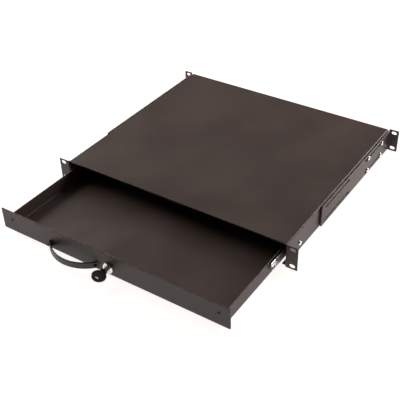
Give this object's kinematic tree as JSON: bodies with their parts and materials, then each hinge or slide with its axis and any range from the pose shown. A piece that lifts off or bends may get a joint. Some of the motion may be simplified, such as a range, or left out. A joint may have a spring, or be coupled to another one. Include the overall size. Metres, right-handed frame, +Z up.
{
  "type": "sliding rack drawer",
  "caption": "Locking 1U rack drawer: steel tray with bow handle and cam lock on telescopic ball slides in a slotted case with rear brackets.",
  "frame": {"origin": "middle of the front rack holes, on the rear face of the front ears where they meet the rack posts", "axes": "+X to the right seen from the front, +Y from the front to the rear of the rack, +Z up"},
  "size_m": [0.4826, 0.6, 0.0438],
  "materials": {
    "black_powder_coat": "fine satin black powder coat on sheet steel",
    "black_plastic": "black moulded nylon",
    "chrome": "bright chrome on die-cast zinc",
    "zinc_plate": "clear zinc plate",
    "nickel_steel": "nickel-plated steel",
    "bright_screw": "bright nickel-plated screw",
    "black_screw": "black-coated screw",
    "bumper_plastic": "grey moulded nylon",
    "ball_steel": "polished steel balls"
  },
  "bodies": {
    "chassis": {"case": "black_powder_coat", "strike_bracket": "black_powder_coat", "slide_cabinet_member_left": "zinc_plate", "slide_cabinet_member_right": "zinc_plate", "slide_screws": "bright_screw", "slide_rivets": "zinc_plate", "bracket_screws": "bright_screw"},
    "drawer": {"tray": "black_powder_coat", "front_panel": "black_powder_coat", "handle": "black_plastic", "handle_screws": "zinc_plate", "panel_screws": "black_screw", "panel_nuts": "zinc_plate", "lock_housing": "chrome", "lock_nut": "zinc_plate", "slide_drawer_member_left": "zinc_plate", "slide_drawer_member_right": "zinc_plate", "tray_screws": "black_screw"},
    "lock_core": {"lock_plug": "chrome", "lock_cam": "zinc_plate", "cam_screw": "zinc_plate"},
    "key": {"key_blade": "nickel_steel", "key_bow": "black_plastic"},
    "middle_slide_left": {"slide_middle_member_left": "zinc_plate", "slide_bumper_left": "bumper_plastic"},
    "outer_cage_left": {"ball_cage_outer_left": "zinc_plate", "balls_outer_left": "ball_steel"},
    "inner_cage_left": {"ball_cage_inner_left": "zinc_plate", "balls_inner_left": "ball_steel"},
    "rear_bracket_left": {"rear_bracket_left": "black_powder_coat"},
    "middle_slide_right": {"slide_middle_member_right": "zinc_plate", "slide_bumper_right": "bumper_plastic"},
    "outer_cage_right": {"ball_cage_outer_right": "zinc_plate", "balls_outer_right": "ball_steel"},
    "inner_cage_right": {"ball_cage_inner_right": "zinc_plate", "balls_inner_right": "ball_steel"},
    "rear_bracket_right": {"rear_bracket_right": "black_powder_coat"}
  },
  "joints": [
    {"name": "drawer_slide", "type": "slide", "parent": "chassis", "child": "drawer", "axis": [0, -1, 0], "range_m": [-0.1617, 0.1883]},
    {"name": "middle_slide_left_travel", "type": "slide", "parent": "chassis", "child": "middle_slide_left", "axis": [0, -1, 0], "range_m": [-0.08095, 0.09425]},
    {"name": "outer_cage_left_travel", "type": "slide", "parent": "chassis", "child": "outer_cage_left", "axis": [0, -1, 0], "range_m": [-0.04052, 0.04718]},
    {"name": "inner_cage_left_travel", "type": "slide", "parent": "chassis", "child": "inner_cage_left", "axis": [0, -1, 0], "range_m": [-0.12137, 0.14133]},
    {"name": "rear_bracket_left_adjust", "type": "slide", "parent": "chassis", "child": "rear_bracket_left", "axis": [0, 1, 0], "range_m": [-0.0038, 0.0138]},
    {"name": "middle_slide_right_travel", "type": "slide", "parent": "chassis", "child": "middle_slide_right", "axis": [0, -1, 0], "range_m": [-0.08095, 0.09425]},
    {"name": "outer_cage_right_travel", "type": "slide", "parent": "chassis", "child": "outer_cage_right", "axis": [0, -1, 0], "range_m": [-0.04052, 0.04718]},
    {"name": "inner_cage_right_travel", "type": "slide", "parent": "chassis", "child": "inner_cage_right", "axis": [0, -1, 0], "range_m": [-0.12137, 0.14133]},
    {"name": "rear_bracket_right_adjust", "type": "slide", "parent": "chassis", "child": "rear_bracket_right", "axis": [0, 1, 0], "range_m": [-0.0038, 0.0138]},
    {"name": "lock_turn", "type": "hinge", "parent": "drawer", "child": "lock_core", "pos_m": [0.003, -0.1647, -0.003], "axis": [0, 1, 0], "range_deg": [-13.6, 76.4]},
    {"name": "key_pull", "type": "slide", "parent": "lock_core", "child": "key", "axis": [0, -1, 0], "range_m": [0, 0.03]}
  ],
  "couplings": [
    {"joint": "middle_slide_left_travel", "follows": "drawer_slide", "ratio": 0.5},
    {"joint": "outer_cage_left_travel", "follows": "drawer_slide", "ratio": 0.25},
    {"joint": "inner_cage_left_travel", "follows": "drawer_slide", "ratio": 0.75},
    {"joint": "middle_slide_right_travel", "follows": "drawer_slide", "ratio": 0.5},
    {"joint": "outer_cage_right_travel", "follows": "drawer_slide", "ratio": 0.25},
    {"joint": "inner_cage_right_travel", "follows": "drawer_slide", "ratio": 0.75}
  ]
}
